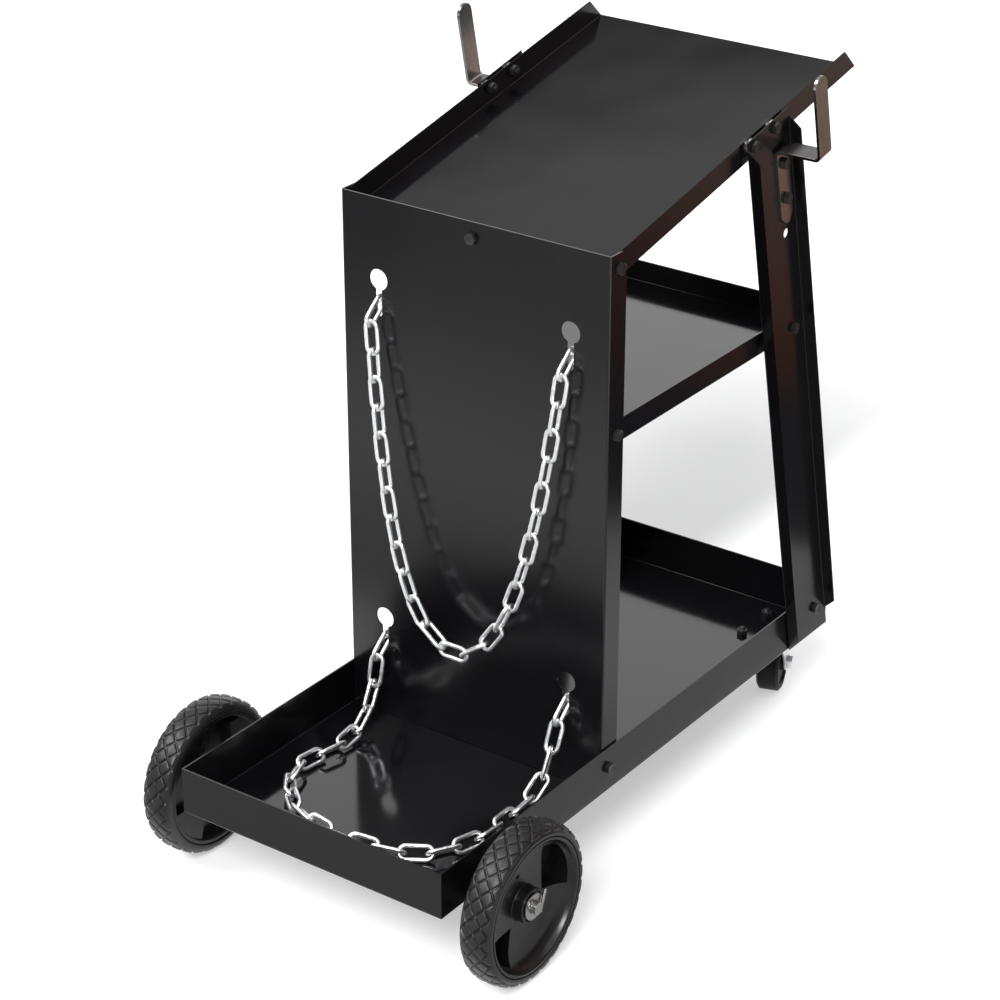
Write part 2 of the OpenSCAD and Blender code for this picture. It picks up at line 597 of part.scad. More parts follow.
// Washers that fill the gap between the post web and the narrower shelf and tray
module spacer(y, z) {
    translate([sx, y, z]) rotate([0, 90, 0]) difference() {
        cylinder(h = px - sx, d = 14);
        translate([0, 0, -1]) cylinder(h = px - sx + 2, d = m6_hole);
    }
}
module post_spacers() {
    color(steel) place() both() {
        spacer(py(pu(shelf_z + 11, bolt_v), bolt_v), shelf_z + 11);
        for (v = tray_bolt_v) spacer(py(tray_bolt_u, v), pz(tray_bolt_u, v));
    }
}
module hook_bolts() {
    color(black) place() both() for (u = hook_bolt_u) bolt_x(px + t + hook_t, py(u, bolt_v), pz(u, bolt_v), 12);
}
module hook_nuts() {
    color(black) place() both() for (u = hook_bolt_u) nut_x(px - 5, py(u, bolt_v), pz(u, bolt_v));
}
module caster_bolt_spots() {
    both() for (dx = [-17, 17], dy = [-24, 24]) translate([cast_x + dx, cast_y + dy, 0]) children();
}
module caster_bolts() {
    color(black) place() caster_bolt_spots() {
        translate([0, 0, -6.5]) hex(10, 4);
        translate([0, 0, -3]) cylinder(h = 12, d = 5.9);
    }
}
module caster_nuts() {
    color(black) place() caster_bolt_spots() translate([0, 0, t]) difference() {
        hex(10, 5);
        translate([0, 0, -1]) cylinder(h = 7, d = 6.1);
    }
}

base_tray();
back_panel();
top_tray();
middle_shelf();
left_post();
right_post();
left_cable_hook();
right_cable_hook();
axle();
left_axle_strap();
right_axle_strap();
left_tyre();
left_rim();
right_tyre();
right_rim();
wheel_washers();
cotter_pins();
left_caster_plate();
left_caster_kingpin();
left_caster_bearing();
left_caster_fork();
left_caster_axle();
left_caster_wheel();
right_caster_plate();
right_caster_kingpin();
right_caster_bearing();
right_caster_fork();
right_caster_axle();
right_caster_wheel();
upper_chain();
upper_chain_end_links();
lower_chain();
lower_chain_end_links();
panel_bolts();
panel_nuts();
post_bolts();
post_nuts();
post_spacers();
hook_bolts();
hook_nuts();
caster_bolts();
caster_nuts();
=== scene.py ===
import json
import math

import bmesh
import bpy
import numpy as np
from mathutils import Matrix, Vector


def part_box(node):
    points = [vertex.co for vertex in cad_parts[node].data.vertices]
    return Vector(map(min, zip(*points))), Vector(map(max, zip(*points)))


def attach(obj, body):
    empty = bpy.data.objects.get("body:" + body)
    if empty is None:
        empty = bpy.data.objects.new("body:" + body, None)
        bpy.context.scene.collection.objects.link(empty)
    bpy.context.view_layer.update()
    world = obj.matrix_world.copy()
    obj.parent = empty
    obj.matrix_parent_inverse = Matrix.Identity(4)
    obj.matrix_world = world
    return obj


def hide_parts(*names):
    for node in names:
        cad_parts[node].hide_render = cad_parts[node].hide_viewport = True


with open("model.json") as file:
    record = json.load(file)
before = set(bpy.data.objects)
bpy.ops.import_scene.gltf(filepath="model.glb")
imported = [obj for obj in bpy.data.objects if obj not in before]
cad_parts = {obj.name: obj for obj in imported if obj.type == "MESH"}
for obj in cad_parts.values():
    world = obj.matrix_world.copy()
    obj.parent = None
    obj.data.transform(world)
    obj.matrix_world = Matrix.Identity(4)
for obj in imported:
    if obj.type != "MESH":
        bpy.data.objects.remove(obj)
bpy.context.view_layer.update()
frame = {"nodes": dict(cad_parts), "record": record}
N = frame["nodes"]
BODY = {n: b for b, ns in frame["record"]["behaviour"]["bodies"].items() for n in ns}
SLOT = {s["node"]: s["material_slot"] for s in frame["record"]["subparts"]}
MM = 0.001
scene = bpy.context.scene

# ------------------------------------------------------------------ camera
AZ, EL, ROLL = math.radians(35.67), math.radians(26.21), math.radians(0.05)
view = Vector((-math.sin(AZ) * math.cos(EL), math.cos(AZ) * math.cos(EL), -math.sin(EL)))
right = Vector((math.cos(AZ), math.sin(AZ), 0))
up = right.cross(view)
rot = Matrix((right, up, -view)).transposed() @ Matrix.Rotation(ROLL, 3, "Z")
cam_data = bpy.data.cameras.new("photo_camera")
cam_data.sensor_fit = "HORIZONTAL"
cam_data.sensor_width = 36.0
cam_data.lens = 2793.25 / 1000.0 * 36.0
cam_data.clip_start = 0.05
cam_data.clip_end = 100.0
cam = bpy.data.objects.new("photo_camera", cam_data)
cam.matrix_world = Matrix.Translation((1.3282, -1.8927, 1.4432)) @ rot.to_4x4()
scene.collection.objects.link(cam)
scene.camera = cam
scene.view_settings.view_transform = "Standard"
scene.view_settings.look = "None"
scene.view_settings.exposure = 0.0
scene.view_settings.gamma = 1.0


# ------------------------------------------------------------------ materials
class Mat:
    """Small helper around one node tree with one shader."""

    def __init__(self, name, shader="ShaderNodeBsdfPrincipled"):
        self.m = bpy.data.materials.new(name)
        self.m.use_nodes = True
        self.t = self.m.node_tree
        self.t.nodes.clear()
        out = self.add("ShaderNodeOutputMaterial")
        self.b = self.add(shader)
        self.link(self.b.outputs[0], out.inputs[0])
        self.tc = self.add("ShaderNodeTexCoord")

    def add(self, kind, **kw):
        n = self.t.nodes.new(kind)
        for k, v in kw.items():
            setattr(n, k, v)
        return n

    def link(self, a, b):
        self.t.links.new(a, b)

    def put(self, sock, val):
        if isinstance(val, bpy.types.NodeSocket):
            self.link(val, sock)
        else:
            sock.default_value = val

    def set(self, **kw):
        for k, v in kw.items():
            self.put(self.b.inputs[k.replace("_", " ")], v)

    def co(self, scale=(1, 1, 1), rot=(0, 0, 0)):
        mp = self.add("ShaderNodeMapping")
        mp.inputs["Scale"].default_value = scale
        mp.inputs["Rotation"].default_value = rot
        self.link(self.tc.outputs["Object"], mp.inputs["Vector"])
        return mp.outputs[0]

    def noise(self, scale, detail=2.0, rough=0.5, vec=None, dist=0.0):
        n = self.add("ShaderNodeTexNoise")
        self.link(vec if vec is not None else self.tc.outputs["Object"], n.inputs["Vector"])
        n.inputs["Scale"].default_value = scale
        n.inputs["Detail"].default_value = detail
        n.inputs["Roughness"].default_value = rough
        n.inputs["Distortion"].default_value = dist
        return n.outputs[0]

    def voronoi(self, scale, vec=None, feature="F1"):
        n = self.add("ShaderNodeTexVoronoi", feature=feature)
        self.link(vec if vec is not None else self.tc.outputs["Object"], n.inputs["Vector"])
        n.inputs["Scale"].default_value = scale
        return n

    def rng(self, v, a, b, c, d, smooth=False):
        n = self.add("ShaderNodeMapRange", interpolation_type="SMOOTHSTEP" if smooth else "LINEAR")
        self.put(n.inputs[0], v)
        for i, x in enumerate((a, b, c, d)):
            n.inputs[i + 1].default_value = x
        return n.outputs[0]

    def math(self, op, a, b=0.0, clamp=False):
        n = self.add("ShaderNodeMath", operation=op, use_clamp=clamp)
        self.put(n.inputs[0], a)
        self.put(n.inputs[1], b)
        return n.outputs[0]

    def mix(self, f, a, b):
        n = self.add("ShaderNodeMix", data_type="RGBA")
        self.put(n.inputs[0], f)
        for s, v in ((n.inputs[6], a), (n.inputs[7], b)):
            self.put(s, v if isinstance(v, bpy.types.NodeSocket) else (*v, 1.0))
        return n.outputs[2]

    def bump(self, h, strength, dist, normal=None):
        n = self.add("ShaderNodeBump")
        n.inputs["Strength"].default_value = strength
        n.inputs["Distance"].default_value = dist
        self.link(h, n.inputs["Height"])
        if normal is not None:
            self.link(normal, n.inputs["Normal"])
        return n.outputs[0]


def powder_coat():
    k = Mat("powder_coat")
    # slow tone drift, fine dust that lies on faces that look up, a few hairlines
    drift = k.noise(7.0, 3.0)
    fine = k.noise(420.0, 2.0)
    geo = k.add("ShaderNodeNewGeometry")
    sep = k.add("ShaderNodeSeparateXYZ")
    k.link(geo.outputs["Normal"], sep.inputs[0])
    upward = k.rng(sep.outputs[2], 0.35, 0.9, 0.0, 1.0, True)
    cloud = k.rng(k.noise(16.0, 4.0, 0.62), 0.42, 0.72, 0.0, 1.0, True)
    specks = k.rng(k.voronoi(520.0).outputs["Distance"], 0.05, 0.16, 1.0, 0.0, True)
    keep = k.rng(k.noise(95.0, 1.0), 0.60, 0.66, 0.0, 1.0)
    speck = k.math("MULTIPLY", k.math("MULTIPLY", specks, keep), k.math("MULTIPLY", upward, 0.5))
    dust = k.math("ADD", k.math("MULTIPLY", k.math("MULTIPLY", cloud, upward), 0.014), speck, True)
    tone = k.mix(k.rng(drift, 0.3, 0.7, 0.0, 1.0), (0.0021, 0.0020, 0.0027), (0.0033, 0.0031, 0.0040))
    k.set(Base_Color=k.mix(dust, tone, (0.085, 0.083, 0.080)))
    hair = k.rng(k.noise(1.0, 2.0, 0.5, k.co((900.0, 26.0, 60.0), (0.0, 0.0, 0.5)), 0.4), 0.70, 0.76, 0.0, 1.0)
    # flat-lying faces are wiped clean and mirror more crisply than the upright ones
    r = k.math("ADD", k.rng(drift, 0.25, 0.75, 0.165, 0.205), k.math("MULTIPLY", fine, 0.03))
    r = k.math("SUBTRACT", r, k.math("MULTIPLY", upward, 0.10))
    r = k.math("ADD", r, k.math("MULTIPLY", hair, 0.05))
    k.set(Roughness=r, IOR=1.5)
    wavy = k.bump(k.noise(9.0, 1.0), 0.12, 0.004)
    peel = k.bump(k.noise(640.0, 1.5), 0.035, 0.0003, wavy)
    k.set(Normal=peel)
    return k.m


def zinc():
    k = Mat("zinc")
    patch = k.noise(130.0, 3.0, 0.55)
    grain = k.noise(1700.0, 2.0)
    # the axle's ends, out at the hubs, are given a darker grey metal colour
    sp = k.add("ShaderNodeSeparateXYZ")
    k.link(k.tc.outputs["Object"], sp.inputs[0])
    hub = k.rng(k.math("ABSOLUTE", sp.outputs[0]), 0.140, 0.150, 0.0, 1.0)
    tone = k.mix(k.rng(patch, 0.3, 0.7, 0.0, 1.0), (0.90, 0.915, 0.94), (0.96, 0.96, 0.96))
    hub_grey = k.mix(k.rng(patch, 0.35, 0.65, 0.0, 1.0), (0.34, 0.34, 0.335), (0.46, 0.46, 0.45))
    k.set(Base_Color=k.mix(hub, tone, hub_grey), Metallic=1.0)
    k.set(Roughness=k.math("ADD", k.rng(patch, 0.3, 0.7, 0.27, 0.34), k.math("MULTIPLY", grain, 0.06)))
    k.set(Normal=k.bump(k.math("ADD", grain, k.math("MULTIPLY", patch, 1.5)), 0.07, 0.0002))
    return k.m


def hook_steel():
    k = Mat("hook_steel")
    lam = math.radians(12.4)
    # rolled strap: fine lines run along it, so they change only across its width
    lines = k.noise(1.0, 3.0, 0.6, k.co((30.0, 2600.0, 30.0), (-lam, 0.0, 0.0)))
    blot = k.noise(60.0, 3.0, 0.6)
    k.set(Base_Color=k.mix(k.rng(blot, 0.35, 0.7, 0.0, 1.0), (0.31, 0.30, 0.295), (0.26, 0.25, 0.245)), Metallic=1.0)
    k.set(Roughness=k.math("ADD", k.rng(lines, 0.3, 0.7, 0.20, 0.25), k.rng(blot, 0.4, 0.7, 0.0, 0.03)))
    k.set(Normal=k.bump(lines, 0.04, 0.0002))
    return k.m


def painted_bead_shade(k):
    """Painted shade in the groove between tyre and rim: a dark ring by the distance from the axle."""
    lo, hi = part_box("axle")
    sp = k.add("ShaderNodeSeparateXYZ")
    k.link(k.tc.outputs["Object"], sp.inputs[0])
    dy = k.math("SUBTRACT", sp.outputs[1], (lo.y + hi.y) / 2)
    dz = k.math("SUBTRACT", sp.outputs[2], (lo.z + hi.z) / 2)
    r = k.math("SQRT", k.math("ADD", k.math("MULTIPLY", dy, dy), k.math("MULTIPLY", dz, dz)))
    return k.math("MULTIPLY", k.rng(r, 0.0632, 0.0637, 0.0, 1.0, True), k.rng(r, 0.0645, 0.0652, 1.0, 0.0, True))


def tyre_rubber():
    k = Mat("tyre_rubber")
    bloom = k.noise(38.0, 4.0, 0.62)
    grit = k.noise(1500.0, 2.5, 0.6)
    bead_shade = painted_bead_shade(k)
    tone = k.mix(k.rng(bloom, 0.32, 0.72, 0.0, 1.0), (0.0045, 0.0045, 0.0052), (0.0090, 0.0088, 0.0096))
    # painted shade: the tyre is darkened, and its reflection turned down, in the groove next to the rim
    k.set(Base_Color=k.mix(bead_shade, tone, (0.001, 0.001, 0.001)))
    k.set(Roughness=k.math("ADD", k.rng(bloom, 0.3, 0.7, 0.31, 0.39), k.math("MULTIPLY", grit, 0.10)))
    k.set(Specular_IOR_Level=k.rng(bead_shade, 0.0, 1.0, 0.5, 0.05))
    k.set(Normal=k.bump(grit, 0.16, 0.0004), IOR=1.5)
    return k.m


def rim_plastic():
    k = Mat("rim_plastic")
    flow = k.noise(22.0, 3.0, 0.55, None, 0.8)
    grain = k.noise(2300.0, 2.0)
    bead_shade = painted_bead_shade(k)
    tone = k.mix(k.rng(flow, 0.3, 0.7, 0.0, 1.0), (0.0040, 0.0040, 0.0046), (0.0068, 0.0066, 0.0072))
    # painted shade: the rim is darkened, and its reflection turned down, in the groove next to the tyre
    k.set(Base_Color=k.mix(bead_shade, tone, (0.001, 0.001, 0.001)))
    k.set(Roughness=k.math("ADD", k.rng(flow, 0.3, 0.7, 0.22, 0.28), k.math("MULTIPLY", grain, 0.06)))
    k.set(Specular_IOR_Level=k.rng(bead_shade, 0.0, 1.0, 0.45, 0.05))
    k.set(Normal=k.bump(grain, 0.07, 0.0002), IOR=1.5)
    return k.m


def caster_chrome():
    k = Mat("caster_chrome")
    smear = k.noise(70.0, 3.0, 0.6)
    grain = k.noise(1500.0, 2.0)
    k.set(Base_Color=k.mix(k.rng(smear, 0.3, 0.7, 0.0, 1.0), (0.74, 0.75, 0.77), (0.66, 0.67, 0.68)), Metallic=1.0)
    k.set(Roughness=k.math("ADD", k.rng(smear, 0.35, 0.7, 0.30, 0.38), k.math("MULTIPLY", grain, 0.05)))
    k.set(Normal=k.bump(grain, 0.05, 0.0002))
    return k.m


def caster_rubber():
    k = Mat("caster_rubber")
    bloom = k.noise(60.0, 4.0, 0.6)
    grit = k.noise(1700.0, 2.0)
    k.set(Base_Color=k.mix(k.rng(bloom, 0.3, 0.7, 0.0, 1.0), (0.005, 0.005, 0.0055), (0.011, 0.0105, 0.0105)))
    k.set(Roughness=k.math("ADD", k.rng(bloom, 0.3, 0.7, 0.38, 0.5), k.math("MULTIPLY", grit, 0.1)), Specular_IOR_Level=0.12)
    k.set(Normal=k.bump(grit, 0.12, 0.0003))
    return k.m


def black_bolt():
    k = Mat("black_bolt")
    patch = k.noise(240.0, 3.0)
    grain = k.noise(2600.0, 2.0)
    k.set(Base_Color=k.mix(k.rng(patch, 0.35, 0.7, 0.0, 1.0), (0.007, 0.007, 0.008), (0.014, 0.014, 0.014)))
    k.set(Roughness=k.math("ADD", k.rng(patch, 0.3, 0.7, 0.28, 0.38), k.math("MULTIPLY", grain, 0.08)))
    k.set(Normal=k.bump(grain, 0.12, 0.0002), IOR=1.5)
    return k.m


MATS = {"powder_coat": powder_coat(), "zinc": zinc(), "hook_steel": hook_steel(), "tyre_rubber": tyre_rubber(),
        "rim_plastic": rim_plastic(), "caster_chrome": caster_chrome(), "caster_rubber": caster_rubber(),
        "black_bolt": black_bolt()}


# ------------------------------------------------------------------ helpers
def islands(node):
    """Vertices of each separate solid in a CAD node, as arrays in metres."""
    me = N[node].data
    co = np.empty(len(me.vertices) * 3, np.float32)
    me.vertices.foreach_get("co", co)
    co = co.reshape(-1, 3).astype(float)
    inv = np.unique(np.round(co * 1e5).astype(np.int64), axis=0, return_inverse=True)[1].reshape(-1)
    e = np.empty(len(me.edges) * 2, np.int32)
    me.edges.foreach_get("vertices", e)
    e = inv[e.reshape(-1, 2)]
    lab = np.arange(inv.max() + 1)
    while True:
        m = np.minimum(lab[e[:, 0]], lab[e[:, 1]])
        new = lab.copy()
        np.minimum.at(new, e[:, 0], m)
        np.minimum.at(new, e[:, 1], m)
        new = new[new]
        if (new == lab).all():
            break
        lab = new
    lab = lab[inv]
    return [co[lab == u] for u in np.unique(lab)]


def piece(name, node, verts, faces, sharp=32.0):
    """A mesh that stands for a CAD node, riding on the node's body."""
    me = bpy.data.meshes.new(name)
    me.from_pydata([tuple(v) for v in verts], [], faces)
    me.validate()
    bm = bmesh.new()
    bm.from_mesh(me)
    bmesh.ops.recalc_face_normals(bm, faces=bm.faces)
    bm.to_mesh(me)
    bm.free()
    me.shade_smooth()
    me.set_sharp_from_angle(angle=math.radians(sharp))
    ob = bpy.data.objects.new(name, me)
    scene.collection.objects.link(ob)
    me.materials.append(MATS[SLOT[node]])
    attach(ob, BODY[node])
    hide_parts(node)
    return ob


class Mesh:
    """Collects rings of points and the faces between them."""

    def __init__(self):
        self.v, self.f = [], []

    def ring(self, pts):
        i = len(self.v)
        self.v += pts
        return list(range(i, i + len(pts)))

    def loft(self, a, b):
        n = len(a)
        for k in range(n):
            self.f.append((a[k], a[(k + 1) % n], b[(k + 1) % n], b[k]))

    def cap(self, a):
        self.f.append(tuple(a))

    def fan(self, a, p):
        self.v.append(p)
        c = len(self.v) - 1
        for k in range(len(a)):
            self.f.append((a[k], a[(k + 1) % len(a)], c))


# ------------------------------------------------------------------ carried-over CAD parts
REPLACED = {"left_tyre", "right_tyre", "upper_chain", "upper_chain_end_links", "lower_chain", "lower_chain_end_links",
            "panel_bolts", "panel_nuts", "post_bolts", "post_nuts", "hook_bolts", "hook_nuts", "caster_bolts",
            "caster_nuts", "cotter_pins", "base_tray"}
EDGE = {"powder_coat": 0.28, "hook_steel": 0.55, "rim_plastic": 0.4, "zinc": 0.35, "caster_chrome": 0.35, "caster_rubber": 0.6}


def soft_edges(ob, width):
    b = ob.modifiers.new("edge", "BEVEL")
    b.width = width * MM
    b.segments = 3
    b.limit_method = "ANGLE"
    b.angle_limit = math.radians(38)
    b.use_clamp_overlap = True
    b.harden_normals = True
    b.miter_outer = "MITER_ARC"
    wn = ob.modifiers.new("normals", "WEIGHTED_NORMAL")
    wn.keep_sharp = True


def fills_wrong(ob):
    """True if a face that runs round a hole would be drawn with the hole filled."""
    ev = ob.evaluated_get(bpy.context.evaluated_depsgraph_get())
    me = ev.to_mesh()
    me.calc_loop_triangles()
    tri, pol = sum(t.area for t in me.loop_triangles), sum(p.area for p in me.polygons)
    ev.to_mesh_clear()
    return abs(tri / pol - 1.0) > 0.004


def joined_faces(name, node):
    """A pan's mesh with its flat faces joined, but the mitres of its rim kept apart."""
    bm = bmesh.new()
    bm.from_mesh(N[node].data)
    bmesh.ops.remove_doubles(bm, verts=bm.verts[:], dist=2e-6)
    bm.normal_update()
    top = max(v.co.z for v in bm.verts)

    def mitre(e):
        return (e.calc_length() < 0.004 and min(v.co.z for v in e.verts) > top - 1e-5
                and len(e.link_faces) == 2 and all(f.normal.z > 0.999 for f in e.link_faces))

    bmesh.ops.dissolve_limit(bm, angle_limit=math.radians(0.4), use_dissolve_boundaries=False, verts=bm.verts[:],
                             edges=[e for e in bm.edges if not mitre(e)], delimit=set())
    bm.verts.index_update()
    ob = piece(name, node, [v.co.copy() for v in bm.verts], [[v.index for v in f.verts] for f in bm.faces])
    bm.free()
    soft_edges(ob, EDGE[SLOT[node]])
    return ob


for n, ob in N.items():
    slot = SLOT[n]
    ob.data.materials.clear()
    ob.data.materials.append(MATS[slot])
    if n in REPLACED:
        continue
    w = ob.modifiers.new("weld", "WELD")
    w.merge_threshold = 2e-6
    d = ob.modifiers.new("flat", "DECIMATE")
    d.decimate_type = "DISSOLVE"
    d.angle_limit = math.radians(0.4)
    soft_edges(ob, EDGE[slot])
    if fills_wrong(ob):
        ob.modifiers.remove(d)
joined_faces("base_pan", "base_tray")


# ------------------------------------------------------------------ tyres with raised diamond blocks
def make_tyre(name, node):
    lo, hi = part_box(node)
    cx, cy, cz = ((lo[i] + hi[i]) / 2 for i in range(3))
    out = 1.0 if cx > 0 else -1.0
    # half section of the tyre, from the middle of the tread to the bead: (across, radius)
    half = [(0.0, 75.0), (3.5, 75.0), (6.0, 74.8), (9.5, 74.2), (12.2, 73.1), (14.0, 71.9), (15.2, 70.6), (16.3, 67.5), (16.05, 64.7), (15.4, 64.0)]
    arc = [0.0]
    for p, q in zip(half, half[1:]):
        arc.append(arc[-1] + math.hypot(q[0] - p[0], q[1] - p[1]))

    def skin(u):
        """Point and outward normal of the section at the arc length u."""
        w = abs(u)
        k = 0
        while k < len(half) - 2 and arc[k + 1] < w:
            k += 1
        p, q = half[k], half[k + 1]
        f = (w - arc[k]) / (arc[k + 1] - arc[k])
        ds, dr = (q[0] - p[0]) / (arc[k + 1] - arc[k]), (q[1] - p[1]) / (arc[k + 1] - arc[k])
        sg = 1.0 if u >= 0 else -1.0
        return sg * (p[0] + f * (q[0] - p[0])), p[1] + f * (q[1] - p[1]), -sg * dr, ds

    # narrow V grooves cross at rows 7.2 mm apart; the blocks between them are slightly domed
    F = [0.0, 0.03, 0.105, 0.14, 0.22, 0.5, 0.78, 0.86, 0.895, 0.97]
    DEP = [1.6, 1.6, 0.30, 0.11, 0.03, 0.0, 0.03, 0.11, 0.30, 1.6]
    n, turns, high = len(F), 28, 14.4
    P = 2 * turns * n
    m = Mesh()
    idx = {}

    def put(u, dep, th):
        s, r, ns, nr = skin(u)
        s, r = s - ns * dep, r - nr * dep
        m.v.append((cx + out * s * MM, cy + r * MM * math.cos(th), cz + r * MM * math.sin(th)))
        return len(m.v) - 1

    def vert(A, B):
        dd = A - B
        ss = (A + B) % P
        if (dd, ss) not in idx:
            a, b = A // n + F[A % n], B // n + F[B % n]
            u = 1.5 + (a - b) / 2 * high
            th = ((a + b) / 2) * 2 * math.pi / turns + math.radians(6.2)
            dep = min(1.6, DEP[A % n] + DEP[B % n])
            idx[(dd, ss)] = (put(u, dep, th), u, dep, th)
        return idx[(dd, ss)][0]

    lim = 2 * n
    for A in range(0, turns * n):
        for B in range(A - lim - 1, A + lim + 1):
            q = [(A, B), (A + 1, B), (A + 1, B + 1), (A, B + 1)]
            ok = [abs(x - y) <= lim for x, y in q]
            if all(ok):
                m.f.append(tuple(vert(*c) for c in q))
            elif sum(ok) == 3:
                m.f.append(tuple(vert(*c) for c, k in zip(q, ok) if k))
    inner = []
    for sg in (-1, 1):
        edge = sorted((v for (dd, ss), v in idx.items() if dd == sg * lim), key=lambda v: v[3] % (2 * math.pi))
        prev = [e[0] for e in edge]
        u0 = 1.5 + sg * high
        side = [(u0 + sg * 0.35, 0.97, 0.12), (u0 + sg * 0.8, 0.75, 0.42), (u0 + sg * 1.4, 0.35, 0.5), (u0 + sg * 2.2, 0.08, 0.5)]
        side += [(sg * w, 0.0, k) for w, k in ((17.6 if sg < 0 else 18.6, 0.48), (arc[7], 0.15), (21.0, 0.05), (arc[8], 0.0), (arc[9], 0.0))]
        for u, keep, sink in side:
            ring = [put(u, max(sink, keep * e[2] + sink * 0.6), e[3]) for e in edge]
            m.loft(prev, ring)
            prev = ring
        inner.append(prev)
    m.loft(inner[0], inner[1])
    return piece(name, node, m.v, m.f, 30.0)


make_tyre("left_block_tyre", "left_tyre")
make_tyre("right_block_tyre", "right_tyre")


# ------------------------------------------------------------------ welded chain links
def link_section(m, M, seed):
    """One link with its weld bead; M takes the link's own axes to the row frame (mm)."""
    r, ci, pitch = 2.0, 4.25, 26.3
    cc, h = ci + r, pitch / 2 - ci
    path = []
    bead = (-h, -5.4, -2.2, -1.25, -0.75, 0.0, 0.75, 1.25, 2.2, 5.4, h)
    swell = {-1.25: 0.03, -0.75: 0.13, 0.0: 0.09, 0.75: 0.13, 1.25: 0.03}
    for x in bead[:-1]:
        path.append((Vector((x, -cc, 0)), Vector((0, -1, 0)), swell.get(x, 0.0)))
    for k in range(12):
        a = -math.pi / 2 + math.pi * k / 12
        path.append((Vector((h + cc * math.cos(a), cc * math.sin(a), 0)), Vector((math.cos(a), math.sin(a), 0)), 0.0))
    for k in range(4):
        path.append((Vector((h - 2 * h * k / 4, cc, 0)), Vector((0, 1, 0)), 0.0))
    for k in range(12):
        a = math.pi / 2 + math.pi * k / 12
        path.append((Vector((-h + cc * math.cos(a), cc * math.sin(a), 0)), Vector((math.cos(a), math.sin(a), 0)), 0.0))
    rings = []
    for p, o, sw in path:
        pts = []
        for j in range(14):
            t = 2 * math.pi * j / 14
            rr = r + sw * (1.0 + 0.35 * math.sin(2 * t + seed))
            q = M @ (p + o * (rr * math.cos(t)) + Vector((0, 0, rr * math.sin(t))))
            pts.append((q.x * MM, q.y * MM, q.z * MM))
        rings.append(m.ring(pts))
    for k in range(len(rings)):
        m.loft(rings[k], rings[(k + 1) % len(rings)])


def make_chain(name, node):
    m = Mesh()
    for i, co in enumerate(islands(node)):
        c = co.mean(0)
        u, s, vt = np.linalg.svd(co - c, full_matrices=False)
        q = (co - c) @ vt.T
        c = c + ((q.max(0) + q.min(0)) / 2) @ vt
        a, d = Vector(vt[0]), Vector(vt[1])
        if (i * 7 + 3) % 5 < 2:
            d = -d                       # the weld lies on either leg
        e = a.cross(d)
        M = Matrix.Translation(Vector(c) / MM) @ Matrix((a, d, e)).transposed().to_4x4()
        link_section(m, M, i * 1.7)
    return piece(name, node, m.v, m.f, 60.0)


make_chain("upper_chain_links", "upper_chain")
make_chain("upper_slot_and_stop_links", "upper_chain_end_links")
make_chain("lower_chain_links", "lower_chain")
make_chain("lower_slot_and_stop_links", "lower_chain_end_links")


# ------------------------------------------------------------------ hex bolts and nuts
def axis_frame(co, bolt):
    """Axis, start of the axis, and the turn of the hexagon of one bolt or nut."""
    ext = co.max(0) - co.min(0)
    k = int(np.argmax(ext)) if bolt else int(np.argmin(ext))
    o = [(k + 1) % 3, (k + 2) % 3]
    mid = (co.max(0) + co.min(0)) / 2
    rad = np.hypot(co[:, o[0]] - mid[o[0]], co[:, o[1]] - mid[o[1]])
    far = co[rad > rad.max() - 2e-5]
    sgn = 1.0
    if bolt and far[:, k].mean() < mid[k]:
        sgn = -1.0
    z = np.zeros(3)
    z[k] = sgn
    start = mid.copy()
    start[k] = co[:, k].min() if sgn > 0 else co[:, k].max()
    x = far[0] - mid
    x[k] = 0
    x = x / np.linalg.norm(x)
    y = np.cross(z, x)
    M = Matrix((Vector(x), Vector(y), Vector(z))).transposed().to_4x4()
    return Matrix.Translation(Vector(start) / MM) @ M, ext[k] / MM, rad.max() / MM, far[:, k], sgn, k, start


def circle(M, r, z, n, fn=None):
    pts = []
    for j in range(n):
        a = 2 * math.pi * j / n
        rr = fn(a) if fn else r
        zz = z(a) if callable(z) else z
        q = M @ Vector((rr * math.cos(a), rr * math.sin(a), zz))
        pts.append((q.x * MM, q.y * MM, q.z * MM))
    return pts


